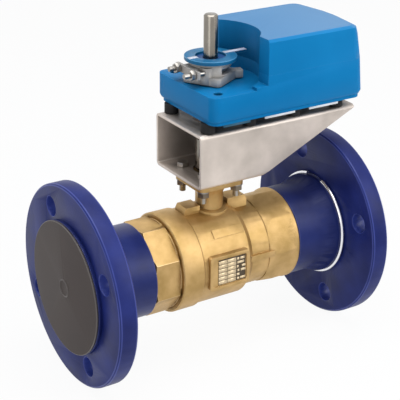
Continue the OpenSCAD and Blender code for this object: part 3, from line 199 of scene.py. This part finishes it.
def painted(name, dark, light, roughness, specular=0.3, metallic=0.0, skin=900, relief=0.05, cloud=38):
    """A finish with clouded colour, uneven gloss and a fine skin."""
    finish = bpy.data.materials.new(name)
    finish.use_nodes = True
    tree = finish.node_tree
    shader = tree.nodes["Principled BSDF"]
    shader.inputs["Metallic"].default_value = metallic
    shader.inputs["Specular IOR Level"].default_value = specular
    place = tree.nodes.new("ShaderNodeTexCoord")
    clouds = tree.nodes.new("ShaderNodeTexNoise")
    clouds.name = "clouds"
    clouds.inputs["Scale"].default_value = cloud
    clouds.inputs["Detail"].default_value = cloud_detail
    tint = tree.nodes.new("ShaderNodeValToRGB")
    low, high = tint.color_ramp.elements
    low.position, low.color = tint_low, (*dark, 1)
    high.position, high.color = tint_high, (*light, 1)
    grain = tree.nodes.new("ShaderNodeTexNoise")
    grain.name = "grain"
    grain.inputs["Scale"].default_value = skin
    grain.inputs["Detail"].default_value = grain_detail
    bump = tree.nodes.new("ShaderNodeBump")
    bump.inputs["Strength"].default_value = relief
    bump.inputs["Distance"].default_value = grain_depth
    gloss = tree.nodes.new("ShaderNodeMapRange")
    gloss.inputs["To Min"].default_value = roughness - gloss_under
    gloss.inputs["To Max"].default_value = roughness + gloss_over
    links = tree.links
    links.new(place.outputs["Object"], clouds.inputs["Vector"])
    links.new(place.outputs["Object"], grain.inputs["Vector"])
    links.new(clouds.outputs["Fac"], tint.inputs["Fac"])
    links.new(tint.outputs["Color"], shader.inputs["Base Color"])
    links.new(clouds.outputs["Fac"], gloss.inputs["Value"])
    links.new(gloss.outputs["Result"], shader.inputs["Roughness"])
    links.new(grain.outputs["Fac"], bump.inputs["Height"])
    links.new(bump.outputs["Normal"], shader.inputs["Normal"])
    return finish


def finish_piece(mesh, name, node, *materials, stands_for=True):
    """Makes the mesh a piece that moves with the CAD node and, if told so, stands for it."""
    data = bpy.data.meshes.new(name)
    mesh.to_mesh(data)
    mesh.free()
    piece = bpy.data.objects.new(name, data)
    scene.collection.objects.link(piece)
    for material in materials:
        data.materials.append(material)
    for face in data.polygons:
        face.use_smooth = True
    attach(piece, body_of[node])
    if stands_for:
        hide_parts(node)
    return piece


same_place = 1e-6
flat_degrees = 1
edge_slot = 1


def rounded(node, material, edge_material, width, segments=2, corner=32):
    """The CAD piece with its sharp edges rounded; the rounds take the edge material."""
    mesh = bmesh.new()
    mesh.from_mesh(nodes[node].data)
    bmesh.ops.remove_doubles(mesh, verts=mesh.verts, dist=same_place)
    bmesh.ops.dissolve_limit(mesh, angle_limit=math.radians(flat_degrees),
                             verts=mesh.verts, edges=mesh.edges)
    piece = finish_piece(mesh, node + "_piece", node, material, edge_material)
    edge = piece.modifiers.new("edges", "BEVEL")
    edge.width = width
    edge.segments = segments
    edge.limit_method = "ANGLE"
    edge.angle_limit = math.radians(corner)
    edge.harden_normals = True
    edge.miter_outer = "MITER_ARC"
    edge.material = edge_slot
    return piece


flange_round = 0.0006
bolt_holes_in, bolt_holes_out = 0.062, 0.083
side_lean = 0.3
flange_paint = painted("flange_paint", (0.006, 0.012, 0.095), (0.018, 0.030, 0.180),
                       roughness=0.42, specular=0.18, skin=700, relief=0.2, cloud=26)
# Lighter blue on the turned rims: a painted highlight.
flange_rim_highlight = painted("flange_rim_highlight", (0.022, 0.038, 0.215), (0.044, 0.065, 0.300),
                     roughness=0.36, specular=0.35, skin=700, relief=0.2)
for flange in ("inlet_flange", "outlet_flange"):
    piece = rounded(flange, flange_paint, flange_rim_highlight, flange_round)
    # The bolt hole walls take the same lighter blue, as painted light inside the holes.
    for face in piece.data.polygons:
        off_axis = math.hypot(face.center.y, face.center.z)
        if abs(face.normal.x) < side_lean and bolt_holes_in < off_axis < bolt_holes_out:
            face.material_index = edge_slot

# Adaptors. Turned steel ends in the same navy paint, with a groove for the snap ring, screwed
# into the brass at one end and holding the flange at the other.
adaptor_round = 0.0004
adaptor_paint = painted("adaptor_paint", (0.006, 0.012, 0.088), (0.016, 0.027, 0.148),
                        roughness=0.36, specular=0.22, skin=800, relief=0.08)
# Lighter navy on the adaptors' rounded edges: a painted highlight.
adaptor_rim_highlight = painted("adaptor_rim_highlight", (0.028, 0.040, 0.170), (0.045, 0.060, 0.230),
                      roughness=0.34, specular=0.4)
for adaptor in ("inlet_adaptor", "outlet_adaptor"):
    rounded(adaptor, adaptor_paint, adaptor_rim_highlight, adaptor_round)

# Dust caps. Thin dark plastic discs with a hollow spigot, moulded with a small ring in the
# middle and pushed into the bores for the journey.
cap_round = 0.0003
cap_plastic = painted("cap_plastic", (0.046, 0.034, 0.031), (0.062, 0.048, 0.043),
                      roughness=0.52, specular=0.2, skin=1500, relief=0.14, cloud=24)
cap_edge = painted("cap_edge", (0.11, 0.098, 0.092), (0.15, 0.135, 0.125),
                   roughness=0.45, specular=0.4, skin=1500)
for cap in ("inlet_cap", "outlet_cap"):
    rounded(cap, cap_plastic, cap_edge, cap_round)

# Snap rings. Bright round spring wire, bent to an open ring and sprung into the groove behind
# each flange to hold it on its adaptor.
def dress(material, *names):
    """Gives CAD pieces that stay as they are their material."""
    for name in names:
        mesh = nodes[name].data
        mesh.materials.clear()
        mesh.materials.append(material)


spring_wire = painted("spring_wire", (0.80, 0.80, 0.82), (0.90, 0.90, 0.92),
                      roughness=0.22, specular=0.5, metallic=1.0)
dress(spring_wire, "inlet_snap_ring", "outlet_snap_ring")

# Brass body, its end connector and the stem. The two are hot forged and sand blasted to an
# even matt grain, with painted shade in their hollows and a lighter colour on their rounded
# edges; the stem is turned from bar.
white_with_nothing_near = 1
shade_samples = 8


def paint_hollow_shade(finish, distance, depth):
    """Paints shade into the colour where the surface is hemmed in."""
    tree = finish.node_tree
    shade = tree.nodes.new("ShaderNodeAmbientOcclusion")
    shade.samples = shade_samples
    shade.inputs["Distance"].default_value = distance
    reach = tree.nodes.new("ShaderNodeMapRange")
    reach.inputs["To Min"].default_value = white_with_nothing_near - depth
    blend = tree.nodes.new("ShaderNodeMix")
    blend.data_type = "RGBA"
    blend.blend_type = "MULTIPLY"
    blend.inputs["Factor"].default_value = 1
    colour = tree.nodes["Principled BSDF"].inputs["Base Color"]
    tree.links.new(shade.outputs["AO"], reach.inputs["Value"])
    tree.links.new(colour.links[0].from_socket, blend.inputs["A"])
    tree.links.new(reach.outputs["Result"], blend.inputs["B"])
    tree.links.new(blend.outputs["Result"], colour)


brass_round = 0.0007
forged_brass = painted("forged_brass", (0.435, 0.283, 0.105), (0.625, 0.422, 0.190),
                       roughness=0.48, specular=0.5, metallic=1.0, skin=1300, relief=0.8, cloud=60)
# Painted shade darkens the brass in its hollows.
paint_hollow_shade(forged_brass, distance=0.007, depth=0.45)
brass_edge = painted("brass_edge", (0.65, 0.465, 0.24), (0.77, 0.575, 0.34),
                     roughness=0.38, specular=0.5, metallic=1.0, skin=1500, relief=0.4, cloud=60)
for forging in ("valve_body", "end_connector"):
    rounded(forging, forged_brass, brass_edge, brass_round)
turned_brass = painted("turned_brass", (0.54, 0.36, 0.16), (0.62, 0.43, 0.21),
                       roughness=0.25, specular=0.5, metallic=1.0)
dress(turned_brass, "stem")

# Plate on the body's pad. A dark etched plate with plain raised brass cells: two columns of
# wide cells and a column of short bars of uneven length.
pad_front = -0.0467
plate_sunk, plate_proud, cell_proud = 0.0002, 0.0002, 0.0005
cell_root = 0.0001
plate_left, plate_right, plate_low, plate_high = 0.1254, 0.1545, -0.0124, 0.0124
cell_rows = 6
rows_margin, first_row = 0.0010, 0.0006
cell_share = 0.84
bar_low_share, bar_high_share = 0.15, 0.7
row_cells = ((0.0001, 0.0092), (0.0096, 0.0186))
row_bars = (((0.0200, 0.0224), (0.0234, 0.0290)),
            ((0.0196, 0.0226),),
            ((0.0204, 0.0222), (0.0240, 0.0290)),
            ((0.0196, 0.0214), (0.0250, 0.0290)),
            ((0.0200, 0.0272),),
            ((0.0196, 0.0220), (0.0232, 0.0276)))
plate_ink = painted("plate_ink", (0.060, 0.042, 0.024), (0.100, 0.072, 0.044),
                    roughness=0.5, specular=0.4, skin=1800)
plate_cells = painted("plate_cells", (0.72, 0.56, 0.34), (0.86, 0.70, 0.46),
                      roughness=0.45, specular=0.5, metallic=0.5, skin=1800)


def block(mesh, x0, x1, y0, y1, z0, z1):
    """Adds a closed block to the mesh."""
    middle = Matrix.Translation(((x0 + x1) / 2, (y0 + y1) / 2, (z0 + z1) / 2))
    size = Matrix.Diagonal((x1 - x0, y1 - y0, z1 - z0, 1))
    bmesh.ops.create_cube(mesh, size=1, matrix=middle @ size)


plate_face = pad_front - plate_proud
mesh = bmesh.new()
block(mesh, plate_left, plate_right, plate_face, pad_front + plate_sunk, plate_low, plate_high)
finish_piece(mesh, "pad_plate", "valve_body", plate_ink, stands_for=False)
cell_face, cell_back = pad_front - cell_proud, plate_face + cell_root
row_pitch = (plate_high - plate_low - rows_margin) / cell_rows
mesh = bmesh.new()
for row, bars in enumerate(row_bars):
    low = plate_low + first_row + row * row_pitch
    for x0, x1 in row_cells:
        block(mesh, plate_left + x0, plate_left + x1, cell_face, cell_back,
              low, low + row_pitch * cell_share)
    for x0, x1 in bars:
        block(mesh, plate_left + x0, plate_left + x1, cell_face, cell_back,
              low + row_pitch * bar_low_share, low + row_pitch * bar_high_share)
finish_piece(mesh, "pad_cells", "valve_body", plate_cells, stands_for=False)

# Bracket. One stainless sheet, cut and folded to an open channel with a sloping end, brushed
# along its length, with bare cut edges.
def brushed(finish, along, fine):
    """Stretches the grain into hair lines along one axis."""
    tree = finish.node_tree
    place = next(n for n in tree.nodes if n.type == "TEX_COORD")
    lay = tree.nodes.new("ShaderNodeMapping")
    lay.inputs["Scale"].default_value = [1 if axis == along else fine for axis in "XYZ"]
    tree.links.new(place.outputs["Object"], lay.inputs["Vector"])
    tree.links.new(lay.outputs["Vector"], tree.nodes["grain"].inputs["Vector"])


sheet_round = 0.0003
brushed_sheet = painted("brushed_sheet", (0.60, 0.535, 0.48), (0.78, 0.70, 0.64),
                        roughness=0.50, specular=0.5, metallic=1.0, skin=60, relief=0.35)
brushed(brushed_sheet, along="X", fine=40)
# Painted shade darkens the sheet where it is hemmed in, inside the channel and under the case.
paint_hollow_shade(brushed_sheet, distance=0.05, depth=0.65)
sheet_edge = painted("sheet_edge", (0.62, 0.59, 0.56), (0.72, 0.69, 0.66),
                     roughness=0.35, specular=0.5, metallic=1.0)
rounded("mounting_bracket", brushed_sheet, sheet_edge, sheet_round)

# Screws, washers, nuts, posts and pins of the bracket, the clamp and the case. Zinc plated
# steel; the nuts under the top flange are in a darker, brownish zinc.
fastener_round = 0.0003
zinc = painted("zinc", (0.30, 0.285, 0.265), (0.43, 0.41, 0.38),
               roughness=0.30, specular=0.5, metallic=1.0, skin=500, relief=0.12)
darker_brownish_zinc = painted("darker_brownish_zinc", (0.18, 0.14, 0.10), (0.29, 0.245, 0.185),
                    roughness=0.42, specular=0.5, metallic=1.0, skin=500, relief=0.2)
for fastener, plating in (("bracket_screws", zinc), ("clamp_nuts", zinc), ("bracket_nuts", darker_brownish_zinc)):
    rounded(fastener, plating, plating, fastener_round)
dress(zinc, "bracket_washers", "mount_screws", "shaft_set_screw", "plate_posts", "board_posts",
      "housing_screws", "cover_screws", "gear_pins", "u_bolt")

# Rubber feet and seals. Black moulded rubber with a dull skin: round feet between the case
# and the bracket, and rings on the stem and in the body's joint.
foot_round = 0.0006
rubber = painted("rubber", (0.007, 0.007, 0.008), (0.013, 0.013, 0.014),
                 roughness=0.68, specular=0.3, skin=1800, relief=0.2)
rounded("feet", rubber, rubber, foot_round)
dress(rubber, "stem_seals", "body_seal")

# Actuator case. Die cast housing and cover in one bright blue satin paint, split by a fine
# joint, greyer on top with a painted sheen, darker in its hollows with painted shade, lighter
# on its rounded edges with a painted highlight, and closed below by a base plate in the same paint.
sheen_from, sheen_full = 0.55, 0.98
sheen_uneven, sheen_least = 0.5, 0.75


def paint_top_sheen(finish, colour, amount):
    """Greys the faces that look up with a painted sheen."""
    tree = finish.node_tree
    facing = tree.nodes.new("ShaderNodeNewGeometry")
    split = tree.nodes.new("ShaderNodeSeparateXYZ")
    reach = tree.nodes.new("ShaderNodeMapRange")
    reach.inputs["From Min"].default_value = sheen_from
    reach.inputs["From Max"].default_value = sheen_full
    reach.inputs["To Max"].default_value = amount
    uneven = tree.nodes.new("ShaderNodeMath")
    uneven.operation = "MULTIPLY_ADD"
    uneven.inputs[1].default_value = sheen_uneven
    uneven.inputs[2].default_value = sheen_least
    share = tree.nodes.new("ShaderNodeMath")
    share.operation = "MULTIPLY"
    blend = tree.nodes.new("ShaderNodeMix")
    blend.data_type = "RGBA"
    blend.inputs["B"].default_value = (*colour, 1)
    base = tree.nodes["Principled BSDF"].inputs["Base Color"]
    links = tree.links
    links.new(facing.outputs["Normal"], split.inputs["Vector"])
    links.new(split.outputs["Z"], reach.inputs["Value"])
    links.new(tree.nodes["clouds"].outputs["Fac"], uneven.inputs[0])
    links.new(reach.outputs["Result"], share.inputs[0])
    links.new(uneven.outputs["Value"], share.inputs[1])
    links.new(share.outputs["Value"], blend.inputs["Factor"])
    links.new(base.links[0].from_socket, blend.inputs["A"])
    links.new(blend.outputs["Result"], base)


case_dark, case_light = (0.002, 0.180, 0.445), (0.003, 0.210, 0.500)
case_paint = painted("case_paint", case_dark, case_light,
                     roughness=0.42, specular=0.10, skin=1200, relief=0.06, cloud=16)
# Painted shade darkens the housing in its hollows.
paint_hollow_shade(case_paint, distance=0.06, depth=0.6)
cover_paint = painted("cover_paint", case_dark, case_light,
                      roughness=0.42, specular=0.10, skin=1200, relief=0.06, cloud=16)
# Painted shade darkens the cover in its hollows, deepest on the recess wall.
paint_hollow_shade(cover_paint, distance=0.12, depth=0.75)
# Painted sheen greys the cover's upward faces.
paint_top_sheen(cover_paint, colour=(0.17, 0.26, 0.38), amount=0.48)
# Lighter blue on the cover's rounded edges: a painted highlight, greyed on top by the same painted
# sheen.
cover_edge_highlight = painted("case_edge_highlight", (0.020, 0.19, 0.42), (0.035, 0.22, 0.47),
                     roughness=0.34, specular=0.3, skin=1200)
paint_top_sheen(cover_edge_highlight, colour=(0.24, 0.33, 0.50), amount=0.5)
# Paler blue on the housing's rounded edges: a painted highlight.
housing_edge_highlight = painted("housing_edge_highlight", (0.045, 0.25, 0.52), (0.075, 0.30, 0.60),
                       roughness=0.32, specular=0.3, skin=1200)
housing_round, cover_round, case_corner = 0.0012, 0.0032, 28
rounded("actuator_housing", case_paint, housing_edge_highlight, housing_round, segments=3, corner=case_corner)
rounded("actuator_cover", cover_paint, cover_edge_highlight, cover_round, segments=5, corner=case_corner)
dress(case_paint, "base_plate")

# Liner strips. Thin plastic strips stuck under the front edge of the base plate between the
# feet: two bright ones, and one nearest the inlet in a dim teal that is painted shade.
strip_front, strip_back = -0.0440, -0.0425
strip_low, strip_high = 0.1371, 0.1394
bright_strips = ((0.1740, 0.2060), (0.2220, 0.2540))
painted_shade_strips = ((0.1305, 0.1580),)
liner = painted("liner", (0.86, 0.87, 0.89), (0.93, 0.94, 0.95), roughness=0.35, specular=0.5)
# The same liner in a dim teal, as painted shade.
liner_painted_shade = painted("liner_painted_shade", (0.020, 0.100, 0.165), (0.035, 0.130, 0.205),
                     roughness=0.4, specular=0.4)
for name, plastic, strips in (("liner_strips", liner, bright_strips),
                              ("liner_strip_painted_shade", liner_painted_shade, painted_shade_strips)):
    mesh = bmesh.new()
    for x0, x1 in strips:
        block(mesh, x0, x1, strip_front, strip_back, strip_low, strip_high)
    finish_piece(mesh, name, "base_plate", plastic, stands_for=False)

# Position indicator. A moulded blue ring pressed on the hub, with a bar across it that ends
# in a pointer, its top pale as a painted highlight.
ring_round = 0.0005
indicator_blue = painted("indicator_blue", (0.004, 0.112, 0.250), (0.008, 0.142, 0.305),
                         roughness=0.35, specular=0.2, skin=1400)
indicator_edge = painted("indicator_edge", (0.06, 0.24, 0.44), (0.09, 0.29, 0.50),
                         roughness=0.30, specular=0.4)
rounded("indicator_ring", indicator_blue, indicator_edge, ring_round)
stem_at = 0.1445
ring_top = 0.1885
bar_half, bar_rise = 0.0023, 0.0004
bar_runs = ((-0.0228, -0.0138), (0.0138, 0.0364))
# Pale blue-white on top of the bar: a painted highlight.
pointer_painted_highlight = painted("pointer_painted_highlight", (0.54, 0.57, 0.68), (0.64, 0.67, 0.77),
                       roughness=0.38, specular=0.4)
mesh = bmesh.new()
for x0, x1 in bar_runs:
    block(mesh, stem_at + x0, stem_at + x1, -bar_half, bar_half,
          ring_top - bar_rise, ring_top + bar_rise)
finish_piece(mesh, "pointer_bar", "indicator_ring", pointer_painted_highlight, stands_for=False)

# Web of the indicator ring. A thin darker blue washer inside the ring, resting on the hub's
# top round the shaft: painted shade inside the ring.
web_in, web_out, web_low, web_high = 0.0069, 0.0134, 0.1851, 0.1864
web_steps = 64
# Darker blue of the web: painted shade.
web_painted_shade = painted("web_painted_shade", (0.002, 0.050, 0.190), (0.005, 0.070, 0.235),
                   roughness=0.40, specular=0.25, skin=1400)
mesh = bmesh.new()
section = [mesh.verts.new((stem_at + r, 0, z))
           for r, z in ((web_in, web_low), (web_out, web_low), (web_out, web_high), (web_in, web_high))]
outline = [mesh.edges.new((a, b)) for a, b in zip(section, section[1:] + section[:1])]
bmesh.ops.spin(mesh, geom=section + outline, cent=(stem_at, 0, 0), axis=(0, 0, 1),
               angle=math.tau, steps=web_steps, use_merge=True)
bmesh.ops.remove_doubles(mesh, verts=mesh.verts, dist=same_place)
bmesh.ops.recalc_face_normals(mesh, faces=mesh.faces)
web = finish_piece(mesh, "ring_web", "indicator_ring", web_painted_shade, stands_for=False)
web_edge = web.modifiers.new("edges", "BEVEL")
web_edge.width = 0.0003
web_edge.segments = 2
web_edge.harden_normals = True

# Drive shaft and ball. The shaft is ground steel bar with a fine lay along it, the ball is
# brass, turned and plated to a mirror.
shaft_round = 0.0003
ground_bar = painted("ground_bar", (0.20, 0.182, 0.158), (0.28, 0.258, 0.225),
                     roughness=0.18, specular=0.5, metallic=1.0, skin=80, relief=0.1)
brushed(ground_bar, along="Z", fine=30)
rounded("drive_shaft", ground_bar, zinc, shaft_round)
ball_plating = painted("ball_plating", (0.50, 0.50, 0.52), (0.58, 0.58, 0.60),
                       roughness=0.14, specular=0.5, metallic=1.0, skin=400, relief=0.03)
dress(ball_plating, "ball")

# Hub and saddle. Die cast zinc, dull silver with a sandy skin: the hub fits on the output
# sleeve, and the saddle grips the shaft from the other side of the clamp.
hub_round, saddle_round = 0.0006, 0.0004
cast_alloy = painted("cast_alloy", (0.35, 0.335, 0.315), (0.49, 0.47, 0.445),
                     roughness=0.60, specular=0.5, metallic=0.7, skin=1300, relief=0.45, cloud=90)
# Painted shade darkens the cast alloy in its hollows.
paint_hollow_shade(cast_alloy, distance=0.004, depth=0.5)
cast_edge = painted("cast_edge", (0.46, 0.445, 0.42), (0.56, 0.54, 0.51),
                    roughness=0.38, specular=0.5, metallic=1.0)
rounded("drive_hub", cast_alloy, cast_edge, hub_round)
rounded("clamp_saddle", cast_alloy, cast_edge, saddle_round)

# Gear train and motor. Cut steel gears on pins between the base plate and a pressed plate
# that carries the black enamelled motor.
gear_steel = painted("gear_steel", (0.40, 0.40, 0.42), (0.50, 0.50, 0.52),
                     roughness=0.32, specular=0.5, metallic=1.0)
dress(gear_steel, "output_gear", "gear_one", "gear_two", "motor_pinion", "gear_plate")
black_enamel = painted("black_enamel", (0.02, 0.02, 0.022), (0.03, 0.03, 0.032), roughness=0.4)
dress(black_enamel, "motor")

# Seats, thrust washer and hub bushes. Turned from white low friction plastic, and pressed
# between the pieces that slide on them.
white_plastic = painted("white_plastic", (0.74, 0.74, 0.72), (0.80, 0.80, 0.78), roughness=0.45)
dress(white_plastic, "inlet_seat", "outlet_seat", "thrust_washer", "hub_bushes")

# Circuit board and terminal block. A green laminate board with relays on four posts, and a
# moulded block of green plastic on its edge.
board_green = painted("board_green", (0.02, 0.14, 0.06), (0.03, 0.19, 0.08), roughness=0.4)
dress(board_green, "circuit_board")
terminal_plastic = painted("terminal_plastic", (0.05, 0.22, 0.09), (0.07, 0.27, 0.12),
                           roughness=0.5, specular=0.4, skin=1200, relief=0.1)
dress(terminal_plastic, "terminal_block")

# Cable gland. Black moulded plastic, screwed through the case's outlet end and held by a
# locknut inside it.
gland_round = 0.0004
gland_black = painted("gland_black", (0.018, 0.018, 0.02), (0.03, 0.03, 0.032),
                      roughness=0.5, skin=1500, relief=0.1)
rounded("cable_gland", gland_black, gland_black, gland_round)
rounded("gland_nut", gland_black, gland_black, gland_round)
dress(gland_black, "gland_locknut")
